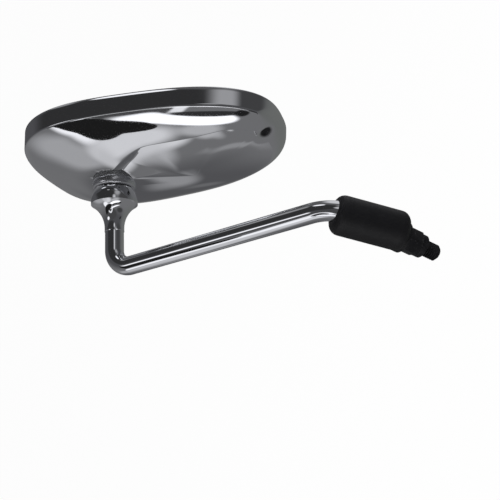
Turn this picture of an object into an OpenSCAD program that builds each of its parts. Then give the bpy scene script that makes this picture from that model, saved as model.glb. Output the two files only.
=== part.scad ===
// Right-hand handlebar mirror for a motorcycle: a chromed oval head on a
// bent chromed stem, with a friction ball knuckle behind the shell and an
// M10 stud under a rubber boot. The origin is the centre of the stud's
// shoulder, the stud points down and the stem runs out along +X.

/* [Stud and boot] */
// Diameter of the mounting stud's thread
stud_d = 10; // [8:0.5:10]
// Length of the mounting stud below its shoulder
stud_len = 10.5; // [8:0.5:16]
// Chamfer at the stud's tip
stud_chamfer = 1.2; // [0.4:0.1:2]
// Width across the flats of the adaptor and the lock nut
hex_af = 14; // [14:0.5:15]
// Height of the adaptor's round shoulder
shoulder_h = 4.5; // [3:0.5:7]
// Height of the adaptor's hexagon
hex_h = 19.5; // [16:0.5:24]
// Height of the lock nut
nut_h = 6; // [4:0.5:7]
// Thickness of the lock washer
washer_t = 1.6; // [1:0.1:2]
// Diameter of the rubber boot
boot_d = 23.6; // [22:0.2:28]
// Length of the rubber boot
boot_len = 45; // [42:1:52]
// Lean of the boot from the stud's axis
boot_lean = 14; // [10:0.5:16]
// Height at which the boot's axis crosses the stud's axis
boot_cross = 33.7; // [31:0.5:36]
// Radius of the boot's rounded ends
boot_round = 5.6; // [3:0.2:6]
// Rubber left outside the hexagon's corners
boot_lip = 1.1; // [0.8:0.1:2]

/* [Stem] */
// Diameter of the stem
stem_d = 12; // [11.5:0.1:12.5]
// Height of the point where the stem's two lower axes meet
stem_corner = 61; // [58:1:64]
// Rise of the long arm above the horizontal
arm_rise = 30.1; // [24:0.5:36]
// Length of the long arm between its two corners
arm_len = 154.7; // [130:1:180]
// Bend radius inside the boot
low_bend = 28; // [22:1:30]
// Bend radius at the outer corner
top_bend = 11.6; // [9:0.2:14]
// Turn of the stem at the outer corner
top_turn = 94.5; // [85:0.5:100]
// Roll of the outer corner about the arm
top_roll = 23.1; // [10:0.5:35]
// Distance from the outer corner to the knuckle's centre
knuckle_dist = 44.9; // [42:0.5:50]

/* [Knuckle] */
// Radius of the spherical knob
knob_r = 15; // [14.5:0.1:15.5]
// Length of the bell below the knob's centre
bell_len = 19.9; // [18:0.5:22]
// Length of the bell's flared stretch
flare_len = 15.9; // [14:0.5:17]
// Running gap between the spherical faces
ball_gap = 0.3; // [0.25:0.05:0.4]
// Radius of the seat ring
ring_r = 13.9; // [13.6:0.1:14.2]
// Distance of the ring's lower face from the knuckle's centre
ring_low = 9.1; // [8.6:0.1:9.4]
// Height of the seat ring
ring_h = 4.4; // [4:0.1:4.8]
// Radius of the socket's neck
neck_r = 13.2; // [12.8:0.1:13.5]
// Radius of the hollow inside the neck
cavity_r = 12; // [11.9:0.1:12.1]
// Thickness of the socket's spherical wall
seat_t = 3.3; // [3:0.1:3.6]
// Thickness of the nylon liner
liner_t = 1.4; // [1.2:0.1:1.8]
// Radius of the pressure cup and the liner
cup_r = 8.6; // [8.4:0.1:8.7]
// Chamfer at the back of the pressure cup
cup_chamfer = 1; // [0.8:0.1:1.4]
// Thickness of the pressure cup at its middle
cup_t = 2.6; // [2.4:0.1:3.2]
// Diameter of the pivot stud
pivot_d = 6; // [5.5:0.1:6]
// Radius of the clearance hole round the pivot stud
pivot_hole_r = 5.9; // [5.8:0.1:6.2]
// Free height of the friction spring as fitted
spring_h = 6.6; // [6:0.2:8]
// Wire diameter of the friction spring
spring_wire = 1.4; // [1:0.1:1.5]
// Mean radius of the friction spring
spring_r = 5.6; // [5.2:0.1:6]
// Turns of the friction spring
spring_turns = 3; // [2.5:0.5:3.5]
// Thickness of the spring washer plate
plate_t = 1; // [0.8:0.1:1.2]
// Height of the pivot nut
pivot_nut_h = 4; // [3.5:0.5:5]
// Width across the flats of the pivot nut
pivot_nut_af = 10; // [9.5:0.5:10]

/* [Head] */
// Half length of the head
half_len = 85.7; // [80:0.5:92]
// Half height of the head at its middle
half_high = 55.7; // [52:0.5:60]
// Squareness of the oval
oval = 2.75; // [2.4:0.05:3]
// Narrowing of the head towards its outer end
taper = 0.141; // [0.08:0.01:0.18]
// Height of the side wall
wall_h = 13.2; // [12.5:0.2:16]
// Rise of the dome above the side wall
dome_h = 18; // [17:0.2:20]
// Fullness of the dome
dome_full = 2.64; // [2.4:0.05:3]
// Inward draft of the side wall at its top
draft = 0.4; // [0.3:0.1:1.2]
// Thickness of the shell
shell_t = 2.5; // [2:0.1:3]
// Fall from the blade to the hollow beside the knuckle
blade_drop = 3.6; // [2:0.2:4]
// Width of the slope below the blade beside the knuckle
blade_slope = 6.5; // [4:0.5:8]
// Depth of the small hollow where the blade ends
dimple_depth = 2; // [1:0.1:3]
// Edge radius between wall and dome along the upper side
edge_sharp = 1; // [0.6:0.1:2]
// Edge radius between wall and dome along the lower side
edge_soft = 9; // [6:0.5:10]
// Lean of the stem from the shell's back
head_lean = 9; // [5:0.5:12]
// Direction in which the stem leans over the shell
lean_dir = 9.4; // [0:1:25]
// Turn of the head on the stem
head_turn = -68.7; // [-180:1:180]
// Distance of the knuckle's centre inboard of the head's middle
knuckle_u = 26.7; // [24:0.5:30]
// Distance of the knuckle's centre above the head's middle
knuckle_v = 5.7; // [4:0.5:8]
// Distance of the knuckle's centre behind the rim
knuckle_w = 46.7; // [46.4:0.1:47.6]

/* [Glass] */
// Radius of curvature of the convex glass
glass_curve = 1200; // [900:50:1600]
// Thickness of the glass
glass_t = 2; // [1.8:0.1:2.4]
// Thickness of the foam pad
foam_t = 1; // [0.8:0.1:1.4]
// Thickness of the glass backing
backing_t = 2.2; // [1.8:0.1:2.6]
// Depth of the glass behind the rim at its middle
glass_sunk = 1; // [0.9:0.1:1.6]
// Inset of the glass edge from the outside of the rim
glass_inset = 5.2; // [5:0.1:6]
// Width of the gasket's lip over the glass
lip_w = 1.3; // [0.8:0.1:2]
// Thickness of the gasket's lip
lip_t = 0.8; // [0.6:0.1:0.9]

/* [Hidden] */
$fn = 64;

// Small clearances
fit = 0.05;
skin = 0.1;
cut = 1;
// Swell of the tube in its bends, and the stretch by which a straight runs into a bend
bend_swell = 0.03;
lap = 0.4;

// Edges, and what stays round the adaptor's bore and the nut in the boot
shoulder_edge = 0.6;
hex_edge = 1;
nut_edge = 0.8;
ring_edge = 0.5;
thread_floor = 3;
rod_gap = 1;
boot_gap = 0.3;

// Heights along the stud's axis
stud_r = stud_d / 2;
hex_top = shoulder_h + hex_h;
nut_low = hex_top + washer_t;
nut_top = nut_low + nut_h;
bore_floor = shoulder_h + thread_floor;
hex_r = hex_af / 2 / cos(30);
cavity_boot_r = hex_r + boot_gap;
stem_r = stem_d / 2;
low_turn = 90 - arm_rise;
low_tangent = low_bend * tan(low_turn / 2);
top_tangent = top_bend * tan(top_turn / 2);
boot_low = 18.6;
skirt_h = 7;
skirt_low = 0.6;

// Distances along the knuckle's axis, from the knob's centre
ring_top = ring_low + ring_h;
ring_sphere = knob_r + ball_gap;
seat_r = ring_sphere + seat_t;
liner_in = seat_r + ball_gap;
liner_out = liner_in + liner_t;
cup_in = liner_out + ball_gap;
cup_back = cup_in + cup_t;
spring_top = cup_back + spring_h;
plate_top = spring_top + plate_t;
nut_end = plate_top + pivot_nut_h;
pivot_proud = 0.8;
pivot_end = nut_end + pivot_proud;
pivot_r = pivot_d / 2;
pivot_root = 4;
rod_end = 8.9;

// Lip of the bell round the stem
lip_out = 0.25;
lip_low = 0.3;
lip_high = 1;
flare_drop = 1.5;

// Socket flange inside the shell
flange_gap = 4.7;
flange_w = wall_h + dome_h - shell_t - flange_gap;
flange_t = 3;
flange_r = 15.5;
ear_dist = 17;
ear_r = 4.2;
screw_r = 1.5;
screw_head_r = 3;
screw_head_h = 2.2;
screw_len = 5.8;
boss_r = 3.2;
screw_room = 0.3;
neck_room = 0.25;
reach = 2 * knuckle_w;
EARS = [180, 245, 310];

// Points on the knuckle's axis in the head's frame, at distance d from the knob's centre
function on_axis(d) = [d * sin(head_lean) * sin(lean_dir) - knuckle_u,
    d * sin(head_lean) * cos(lean_dir) + knuckle_v, knuckle_w - d * cos(head_lean)];
flange_at = on_axis((knuckle_w - flange_w) / cos(head_lean));
socket_top = on_axis(ring_top);

// Pedestal of the seat ring: gap under the ring, and reach on either side of the crest
ring_lift = 0.7;
ped_narrow = 19;
ped_wide = 28;

// Shell grid
RAYS = 84;
CENTRE = [0.3, -0.1];
DIMPLE = [79, 15];
dimple_r = 3.742;
BLADE = [[-60, -50], [-44, -14], [-35, 8], [-27, 17], [-13, 27.4], [0, 32.6], [12, 33.3], [37, 31.1],
    [54.5, 28.5], [64, 24.2], [74, 16.3], [85, 13]];

// Positions on the oval: shares x and y of the half sizes, inset by t
function narrow(x) = 1 - taper * x;
function flat(x, y, t) =
    [(half_len - t) * x, (half_high - t) * y * narrow(x)];
function share_at(u, v) = [u / half_len, v / half_high / narrow(u / half_len)];
function swell(c) = sign(c) * pow(abs(c), 2 / oval);
function rim_share(a) = [swell(cos(a)), swell(sin(a))];
function share(p) = pow(pow(abs(p.x), oval) + pow(abs(p.y), oval), 1 / oval);
function ease(a, b, x) = let (s = min(1, max(0, (x - a) / (b - a)))) s * s * (3 - 2 * s);
function mix(a, b, s) = a + (b - a) * s;

// Height of the plain dome above a share point
function dome(p) = wall_h + dome_h * (1 - pow(min(1, share(p)), dome_full));

// Smooth line of the blade's crest: v for a given u
function slope(i) = (BLADE[i + 1].y - BLADE[i - 1].y) / (BLADE[i + 1].x - BLADE[i - 1].x);
function crest_slope(i) = i == 0 ? (BLADE[1].y - BLADE[0].y) / (BLADE[1].x - BLADE[0].x)
    : i == len(BLADE) - 1 ? (BLADE[i].y - BLADE[i - 1].y) / (BLADE[i].x - BLADE[i - 1].x) : slope(i);
function crest_at(u, i = 0) = i < len(BLADE) - 2 && u > BLADE[i + 1].x ? crest_at(u, i + 1)
    : let (h = BLADE[i + 1].x - BLADE[i].x, s = (u - BLADE[i].x) / h)
    (1 + 2 * s) * (1 - s) * (1 - s) * BLADE[i].y + s * (1 - s) * (1 - s) * h * crest_slope(i)
    + s * s * (3 - 2 * s) * BLADE[i + 1].y + s * s * (s - 1) * h * crest_slope(i + 1);

// Point at share q of the ray from the grid's centre to the rim
function ray(a, q) = CENTRE + q * (rim_share(a) - CENTRE);
function ray_len(a) = norm(flat(ray(a, 1).x, ray(a, 1).y, 0) - flat(CENTRE.x, CENTRE.y, 0));
function above(a, q) = let (f = flat(ray(a, q).x, ray(a, q).y, 0)) f.y - crest_at(f.x);
function find_crest(a, lo = 0, hi = 1, n = 14) = n == 0 ? (lo + hi) / 2
    : let (m = (lo + hi) / 2) above(a, m) > 0 ? find_crest(a, lo, m, n - 1) : find_crest(a, m, hi, n - 1);

// Radius of the edge between wall and dome round the rim
function edge_r(a) = let (s = rim_share(a))
    mix(edge_soft, edge_sharp, ease(-0.35, 0.15, s.y) * (1 - ease(0.9, 0.99, s.x)));
function edge_q(a) = 1 - edge_r(a) / ray_len(a);
function crest_q(a) = above(a, 1) <= 0 ? 0.6 : min(edge_q(a) - 0.05, max(0.3, find_crest(a)));

// Fall below the blade, and the width of its slope, along the crest
FALL_IN = [-31, -14];
FALL_EASE = [0, 50];
FALL_OUT = [72, 82];
THIN_IN = [-14, 8];
thin_slope = 1.6;
function drop(u) = blade_drop * ease(FALL_IN.x, FALL_IN.y, u) * (1 - 0.6 * ease(FALL_EASE.x, FALL_EASE.y, u))
    * (1 - ease(FALL_OUT.x, FALL_OUT.y, u));
function slope_w(u) = mix(blade_slope, thin_slope, ease(THIN_IN.x, THIN_IN.y, u));
function foot_q(a) = let (c = ray(a, crest_q(a)), f = flat(c.x, c.y, 0))
    crest_q(a) - slope_w(f.x) / ray_len(a);
function hollow(a, q) = let (c = ray(a, crest_q(a)), f = flat(c.x, c.y, 0), g = foot_q(a))
    above(a, 1) <= 0 ? 0 : drop(f.x) * (q <= g ? (q / g) * (q / g) : (crest_q(a) - q) / (crest_q(a) - g));
function dimple(f) = dimple_depth * exp(-pow(norm(f - DIMPLE) / dimple_r, 2));

// Pedestal that lifts the skin to the seat ring, wide above the crest and narrow below it
function side(a, q) = above(a, 1) <= 0 ? 0 : min(1, max(0, (q - foot_q(a)) / (crest_q(a) - foot_q(a))));
function seat_plane(f) = socket_top.z
    + ((f.x - socket_top.x) * sin(lean_dir) + (f.y - socket_top.y) * cos(lean_dir)) * tan(head_lean);
function pedestal(a, q, f) = max(0, seat_plane(f) - ring_lift - dome(share_at(f.x, f.y)))
    * (1 - ease(ring_r, mix(ped_narrow, ped_wide, side(a, q)), norm(f - [socket_top.x, socket_top.y])));

// One point of the outer or inner skin on the ray at angle a
function skin_point(a, q, t) = let (p = ray(a, q), k = 1 - draft / half_high, f = flat(p.x * k, p.y * k, t))
    [f.x, f.y, dome(p) - t + (q < edge_q(a) - 0.01
        ? pedestal(a, q, f) - hollow(a, min(q, crest_q(a))) - dimple(f) : 0)];
function wall_point(a, w, t) =
    let (p = rim_share(a), k = 1 - draft / half_high * w / wall_h, f = flat(p.x * k, p.y * k, t))
    [f.x, f.y, w];
function corner(a, s, t, low = 0) = let (lo = wall_point(a, max(low, wall_h - edge_r(a) * 0.9 - t), t),
    hi = skin_point(a, edge_q(a), t), m = wall_point(a, wall_h - t, t))
    (1 - s) * (1 - s) * lo + 2 * s * (1 - s) * m + s * s * hi;

// Rings of the outer skin from its middle to the rim
OUT_IN = [0.3, 0.55, 0.78];
OUT_OUT = [0.25, 0.5, 0.75];
CORNER = [1, 0.66, 0.33, 0];
function outer_ring(k, a) = let (c = crest_q(a), g = foot_q(a), e = edge_q(a))
    k < 3 ? skin_point(a, OUT_IN[k] * g, 0)
    : k == 3 ? skin_point(a, g, 0)
    : k == 4 ? skin_point(a, mix(g, c, 0.6), 0)
    : k == 5 ? skin_point(a, c, 0)
    : k < 9 ? skin_point(a, mix(c, e, OUT_OUT[k - 6]), 0)
    : k < 13 ? corner(a, CORNER[k - 9], 0)
    : k == 13 ? wall_point(a, (wall_h - edge_r(a)) * 0.5, 0)
    : wall_point(a, 0, 0);
OUT_RINGS = 15;
// Bottom edge of the straight pocket for the glass and its backing
function pocket(a, t) = let (p = wall_point(a, 0, t)) [p.x, p.y, ledge_w];
function inner_ring(k, a) = let (c = crest_q(a), g = foot_q(a), e = edge_q(a))
    k == 0 ? wall_point(a, 0, shell_t)
    : k == 1 ? pocket(a, shell_t)
    : k == 2 ? pocket(a, shell_t + ledge_in)
    : k == 3 ? corner(a, 0, shell_t + ledge_in, ledge_w + ledge_rise)
    : k == 4 ? corner(a, 0.5, shell_t + ledge_in / 2, ledge_w + ledge_rise)
    : k == 5 ? corner(a, 1, shell_t, ledge_w)
    : k == 6 ? skin_point(a, mix(c, e, 0.5), shell_t)
    : k == 7 ? skin_point(a, c, shell_t)
    : k == 8 ? skin_point(a, g, shell_t)
    : skin_point(a, 0.5 * g, shell_t);
IN_RINGS = 10;
RINGS = OUT_RINGS + IN_RINGS;
ledge_in = 1.3;
ledge_rise = 0.6;
ledge_w = glass_sunk + glass_t + foam_t + backing_t + sag([half_len - shell_t, 0]) + fit;

// Triangles between ring k and ring k + 1 of a grid of n points a ring
function band(k, n) = [for (i = [0:n - 1])
    let (j = (i + 1) % n, a = k * n + i, b = k * n + j, c = a + n, d = b + n) each [[a, b, d], [a, d, c]]];
function fan(first, n, mid, up) = [for (i = [0:n - 1]) let (a = first + i, b = first + (i + 1) % n)
    up ? [mid, b, a] : [mid, a, b]];

// Frames
module at_arm() { translate([0, 0, stem_corner]) rotate([0, -arm_rise, 0]) children(); }
module at_corner() { at_arm() translate([arm_len, 0, 0]) rotate([-top_roll, 0, 0]) children(); }
module at_knuckle() {
    at_corner() rotate([0, 0, -top_turn]) translate([knuckle_dist, 0, 0]) rotate([0, 90, 0]) children();
}
module at_head() {
    at_knuckle() rotate([0, 0, head_turn]) rotate([180 - head_lean, 0, 0]) rotate([0, 0, lean_dir])
        translate([knuckle_u, -knuckle_v, -knuckle_w]) children();
}
// The knuckle's frame as seen from the head's own frame
module knuckle_in_head() {
    translate([-knuckle_u, knuckle_v, knuckle_w]) rotate([0, 0, -lean_dir]) rotate([head_lean - 180, 0, 0])
        children();
}
module tube(r_out, r_in, low, high) {
    difference() {
        translate([0, 0, low]) cylinder(r = r_out, h = high - low);
        translate([0, 0, low - cut]) cylinder(r = r_in, h = high - low + 2 * cut);
    }
}
module hexagon(af, low, high) {
    translate([0, 0, low]) cylinder(r = af / 2 / cos(30), h = high - low, $fn = 6);
}
// Solid of revolution between two spheres about the origin, inside radius r
module cap(r_low, r_high, r) {
    rotate_extrude() intersection() {
        difference() { circle(r_high, $fn = 180); circle(r_low, $fn = 180); }
        translate([0, r_low * 0.5]) square([r, r_high]);
    }
}

module threaded_adaptor() {
    color("#1d1e20") difference() {
        union() {
            rotate_extrude() polygon([[0, -stud_len], [stud_r - stud_chamfer, -stud_len],
                [stud_r, stud_chamfer - stud_len], [stud_r, lap], [0, lap]]);
            rotate_extrude() polygon([[0, 0], [hex_af / 2 - shoulder_edge, 0], [hex_af / 2, shoulder_edge],
                [hex_af / 2, shoulder_h + lap], [0, shoulder_h + lap]]);
            intersection() {
                hexagon(hex_af, shoulder_h, hex_top);
                rotate_extrude() polygon([[0, shoulder_h], [hex_af / 2, shoulder_h],
                    [hex_r + fit, shoulder_h + hex_edge], [hex_r + fit, hex_top - hex_edge],
                    [hex_af / 2, hex_top], [0, hex_top]]);
            }
        }
        translate([0, 0, bore_floor]) cylinder(r = stud_r + fit, h = hex_top);
    }
}

module lock_washer() { color("#3a3b3d") tube(hex_af / 2 - 2 * skin, stud_r + skin, hex_top, nut_low); }

module lock_nut() {
    color("#2a2b2d") difference() {
        intersection() {
            hexagon(hex_af, nut_low, nut_top);
            rotate_extrude() polygon([[0, nut_low], [hex_af / 2, nut_low], [hex_r + fit, nut_low + nut_edge],
                [hex_r + fit, nut_top - nut_edge], [hex_af / 2, nut_top], [0, nut_top]]);
        }
        cylinder(r = stud_r + fit, h = nut_top + cut);
    }
}

// The lower bend, from the stud's axis to the arm, for a rod of radius r
module lower_bend(r) {
    translate([low_bend, 0, stem_corner - low_tangent]) rotate([90, 0, 0]) rotate([0, 0, 180 - low_turn])
        rotate_extrude(angle = low_turn) translate([low_bend, 0]) circle(r + bend_swell);
}
module stem_rod() {
    color("#c9ccd0") union() {
        translate([0, 0, bore_floor + rod_gap]) cylinder(r = stud_r, h = nut_top - bore_floor);
        translate([0, 0, nut_top]) cylinder(r = stem_r, h = stem_corner - low_tangent - nut_top + lap);
        lower_bend(stem_r);
        at_arm() translate([low_tangent - lap, 0, 0]) rotate([0, 90, 0])
            cylinder(r = stem_r, h = arm_len - low_tangent - top_tangent + 2 * lap);
        at_corner() translate([-top_tangent, -top_bend, 0]) rotate([0, 0, 90 - top_turn])
            rotate_extrude(angle = top_turn) translate([top_bend, 0]) circle(stem_r + bend_swell);
        at_knuckle() translate([0, 0, top_tangent - knuckle_dist - lap])
            cylinder(r = stem_r, h = knuckle_dist - top_tangent - rod_end + lap);
    }
}

module rubber_boot() {
    color("#17181a") difference() {
        union() {
            translate([0, 0, boot_cross]) rotate([0, boot_lean, 0]) rotate_extrude() boot_profile();
            translate([0, 0, boot_cross - boot_low - skirt_low])
                cylinder(r = cavity_boot_r + boot_lip, h = skirt_h);
        }
        cylinder(r = cavity_boot_r, h = nut_top + lap);
        cylinder(r = stem_r + skin, h = stem_corner - low_tangent + lap);
        lower_bend(stem_r + skin);
        at_arm() translate([low_tangent - lap, 0, 0]) rotate([0, 90, 0])
            cylinder(r = stem_r + skin, h = 3 * boot_d);
    }
}
// Half outline of the boot: a straight side with a rounded corner at each end
module boot_profile() {
    r = boot_d / 2;
    high = boot_len - boot_low;
    polygon([[0, -boot_low], for (s = [-90:15:0]) [r - boot_round + boot_round * cos(s), boot_round - boot_low
        + boot_round * sin(s)], for (s = [0:15:90]) [r - boot_round + boot_round * cos(s), high - boot_round
        + boot_round * sin(s)], [0, high]]);
}

// Bell with a concave flare below and a spherical knob above
module ball_collar() {
    foot = stem_r + lip_out;
    flare_r = (flare_len * flare_len + pow(knob_r - foot, 2)) / (2 * (knob_r - foot));
    flare_low = flare_len + flare_drop;
    color("#c9ccd0") at_knuckle() difference() {
        rotate_extrude() polygon([[0, -bell_len], [stem_r + skin, -bell_len], [foot + skin, lip_low - bell_len],
            [foot, lip_high - bell_len], for (i = [0:12]) let (z = flare_len * i / 12)
            [foot + flare_r - sqrt(flare_r * flare_r - z * z), z - flare_low],
            for (s = [0:5:85]) [knob_r * cos(s), knob_r * sin(s)], [0, knob_r]]);
        translate([0, 0, -bell_len - cut]) cylinder(r = stem_r + fit, h = bell_len - rod_end + cut + skin);
        translate([0, 0, -pivot_root]) cylinder(r = pivot_r + fit, h = knob_r * 2);
    }
}

module pivot_stud() {
    color("#b8babd") at_knuckle() translate([0, 0, skin - pivot_root])
        cylinder(r = pivot_r, h = pivot_end + pivot_root);
}

module pivot_nut() {
    color("#b8babd") at_knuckle() difference() {
        hexagon(pivot_nut_af, plate_top, nut_end);
        translate([0, 0, plate_top - cut]) cylinder(r = pivot_r + fit, h = pivot_nut_h + 2 * cut);
    }
}

module spring_plate() {
    color("#b8babd") at_knuckle() tube(spring_r + spring_wire, pivot_r + skin, spring_top, plate_top);
}

// Open-coiled wire, one polyhedron swept along its helix
module friction_spring() {
    steps = 14;
    sides = 8;
    n = steps * spring_turns;
    lift = (spring_h - spring_wire - skin) / n;
    points = [for (i = [0:n]) for (j = [0:sides - 1]) let (a = 360 * i / steps, b = -360 * j / sides,
        r = spring_r + spring_wire / 2 * cos(b)) [r * cos(a), r * sin(a),
        cup_back + (spring_wire + skin) / 2 + lift * i + spring_wire / 2 * sin(b)]];
    faces = concat([for (i = [0:n - 1]) each band(i, sides)], fan_flat(0, sides, false),
        fan_flat(n * sides, sides, true));
    color("#9da0a3") at_knuckle() polyhedron(points, faces);
}
function fan_flat(first, n, up) = [for (i = [1:n - 2]) up ? [first, first + i, first + i + 1]
    : [first, first + i + 1, first + i]];

module pressure_cup() {
    color("#b8babd") at_knuckle() difference() {
        rotate_extrude() difference() {
            polygon([[0, 0], [cup_r, 0], [cup_r, cup_back - cup_chamfer], [cup_r - cup_chamfer, cup_back],
                [0, cup_back]]);
            circle(cup_in, $fn = 180);
        }
        cylinder(r = pivot_r + fit, h = cup_back + cut);
    }
}

module nylon_liner() {
    color("#e8e4d8") at_knuckle() difference() {
        cap(liner_in, liner_out, cup_r);
        cylinder(r = pivot_hole_r, h = liner_out + cut);
    }
}

module seat_ring() {
    color("#a9acb0") at_knuckle() difference() {
        rotate_extrude() polygon([[0, ring_low], [ring_r - ring_edge, ring_low], [ring_r, ring_low + ring_edge],
            [ring_r, ring_top - ring_edge], [ring_r - ring_edge, ring_top], [0, ring_top]]);
        sphere(r = ring_sphere, $fn = 96);
    }
}

// Cast socket: the neck follows the stem's axis and the flange the shell
module joint_socket() {
    color("#a9acb0") at_head() difference() {
        union() {
            intersection() {
                knuckle_in_head() translate([0, 0, ring_top]) cylinder(r = neck_r, h = reach);
                translate([-half_len, -half_high, flange_w - flange_t]) cube([2 * half_len, 2 * half_high, reach]);
            }
            translate([flange_at.x, flange_at.y, flange_w - flange_t]) {
                cylinder(r = flange_r, h = flange_t);
                for (a = EARS) hull() {
                    cylinder(r = ear_r, h = flange_t, $fn = 32);
                    rotate([0, 0, a]) translate([ear_dist, 0, 0]) cylinder(r = ear_r, h = flange_t, $fn = 32);
                }
            }
        }
        knuckle_in_head() {
            sphere(r = ring_sphere, $fn = 96);
            cylinder(r = pivot_hole_r, h = reach);
            difference() {
                cylinder(r = cavity_r, h = reach);
                sphere(r = seat_r, $fn = 96);
            }
        }
        at_ears(flange_w - flange_t - cut) cylinder(r = screw_r + skin, h = flange_t + 2 * cut);
    }
}
function ear_at(a) = [flange_at.x + ear_dist * cos(a), flange_at.y + ear_dist * sin(a)];
module at_ears(w) { for (a = EARS) translate([ear_at(a).x, ear_at(a).y, w]) children(); }

module socket_screws() {
    color("#b8babd") at_head() at_ears(flange_w - flange_t) {
        translate([0, 0, -screw_head_h]) cylinder(r = screw_head_r, h = screw_head_h);
        cylinder(r = screw_r, h = screw_len);
    }
}

module housing_shell() {
    n = RAYS;
    step = 360 / n;
    mid = flat(CENTRE.x, CENTRE.y, 0);
    points = concat([for (k = [0:OUT_RINGS - 1]) for (i = [0:n - 1]) outer_ring(k, i * step)],
        [for (k = [0:IN_RINGS - 1]) for (i = [0:n - 1]) inner_ring(k, i * step)],
        [[mid.x, mid.y, dome(CENTRE)], [mid.x, mid.y, dome(CENTRE) - shell_t]]);
    faces = concat([for (k = [0:RINGS - 2]) each band(k, n)], fan(0, n, RINGS * n, true),
        fan((RINGS - 1) * n, n, RINGS * n + 1, false));
    color("#d4d6d9") at_head() difference() {
        union() {
            polyhedron(points, faces);
            for (a = EARS) let (f = ear_at(a)) translate([f.x, f.y, flange_w])
                cylinder(r = boss_r, h = dome(share_at(f.x, f.y)) - shell_t / 2 - flange_w, $fn = 32);
        }
        knuckle_in_head() cylinder(r = neck_r + neck_room, h = reach);
        at_ears(flange_w - cut) cylinder(r = screw_r, h = screw_len - flange_t + cut + screw_room, $fn = 32);
    }
}

// Front parts: every face follows the sphere of the convex glass
function sag(f) = (f.x * f.x + f.y * f.y) / (2 * glass_curve);
function plate_point(a, r, inset, w) = let (p = rim_share(a), f = r * flat(p.x, p.y, inset))
    [f.x, f.y, w + sag(f)];
PLATE_RINGS = [0.34, 0.67, 1];
module plate(inset, low, high) {
    n = RAYS;
    m = len(PLATE_RINGS);
    step = 360 / n;
    points = concat([for (k = [0:m - 1]) for (i = [0:n - 1]) plate_point(i * step, PLATE_RINGS[k], inset, high)],
        [for (k = [0:m - 1]) for (i = [0:n - 1]) plate_point(i * step, PLATE_RINGS[m - 1 - k], inset, low)],
        [[0, 0, high], [0, 0, low]]);
    faces = concat([for (k = [0:2 * m - 2]) each band(k, n)], fan(0, n, 2 * m * n, true),
        fan((2 * m - 1) * n, n, 2 * m * n + 1, false));
    polyhedron(points, faces);
}
glass_back = glass_sunk + glass_t;
foam_back = glass_back + foam_t;
backing_back = foam_back + backing_t;
foam_inset = 1;

module mirror_glass() { color("#8fa3ad") at_head() plate(glass_inset, glass_sunk, glass_back); }

// The foam's faces stay clear of both plates by the skin, because curved faces that touch overlap
module foam_pad() {
    color("#3b3c3e") at_head() plate(glass_inset + foam_inset, glass_back + skin, foam_back - skin);
}

module glass_backing() { color("#222325") at_head() plate(shell_t + skin, foam_back, backing_back); }

// Seal of an L section between the rim, the glass and the backing
module glass_gasket() {
    n = RAYS;
    step = 360 / n;
    outer = shell_t + skin;
    SECTION = [[outer, glass_sunk - lip_t], [outer, foam_back], [glass_inset - skin, foam_back],
        [glass_inset - skin, glass_sunk - fit], [glass_inset + lip_w, glass_sunk - fit],
        [glass_inset + lip_w, glass_sunk - lip_t]];
    m = len(SECTION);
    points = [for (s = SECTION) for (i = [0:n - 1]) plate_point(i * step, 1, s.x, s.y)];
    ring_faces = [for (k = [0:m - 1]) for (i = [0:n - 1]) let (j = (i + 1) % n, l = (k + 1) % m,
        a = k * n + i, b = k * n + j, c = l * n + i, d = l * n + j) each [[a, b, d], [a, d, c]]];
    color("#151617") at_head() polyhedron(points, ring_faces);
}

threaded_adaptor();
lock_nut();
lock_washer();
stem_rod();
rubber_boot();
ball_collar();
pivot_stud();
pivot_nut();
spring_plate();
friction_spring();
pressure_cup();
nylon_liner();
seat_ring();
joint_socket();
socket_screws();
housing_shell();
glass_backing();
foam_pad();
mirror_glass();
glass_gasket();
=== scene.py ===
"""Handlebar mirror with a chromed oval head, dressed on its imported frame.

Sizes of the parts are in millimetres, and publish turns them into metres. The studio's are in metres.
"""

import logging
import math
from dataclasses import dataclass, field, replace
from enum import Enum

import bmesh
import bpy
import numpy as np
from mathutils import Matrix, Vector

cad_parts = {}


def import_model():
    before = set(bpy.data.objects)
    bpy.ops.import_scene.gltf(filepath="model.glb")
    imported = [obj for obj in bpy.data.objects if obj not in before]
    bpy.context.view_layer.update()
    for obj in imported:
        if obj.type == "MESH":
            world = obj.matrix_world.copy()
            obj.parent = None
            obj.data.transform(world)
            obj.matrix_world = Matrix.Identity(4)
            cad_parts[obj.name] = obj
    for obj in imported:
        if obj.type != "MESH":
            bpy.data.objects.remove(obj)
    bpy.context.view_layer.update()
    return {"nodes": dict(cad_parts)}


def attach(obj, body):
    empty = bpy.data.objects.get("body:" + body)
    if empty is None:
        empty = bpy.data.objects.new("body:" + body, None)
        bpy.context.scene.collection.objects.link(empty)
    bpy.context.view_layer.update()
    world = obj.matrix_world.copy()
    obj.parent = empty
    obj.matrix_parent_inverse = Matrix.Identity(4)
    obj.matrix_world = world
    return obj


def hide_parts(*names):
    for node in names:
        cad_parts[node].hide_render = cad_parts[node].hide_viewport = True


LOG = logging.getLogger("mirror")
MM = 0.001
WELD = 0.0005
SLIVER = 0.0001
NOISE_ROUGH = 0.55
VIEW_RIGHT = (-0.51065, -0.08723, -0.85536)
VIEW_UP = (-0.49839, -0.78061, 0.37716)
VIEW_BACK = (-0.70060, 0.61890, 0.35515)
VIEW_FROM = (-0.34192, 0.35870, 0.28583)


class Part(str, Enum):
    """Bodies that carry the pieces made here."""

    BASE = "base"
    STEM = "stem"
    HEAD = "head"


# Shader helpers


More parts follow.
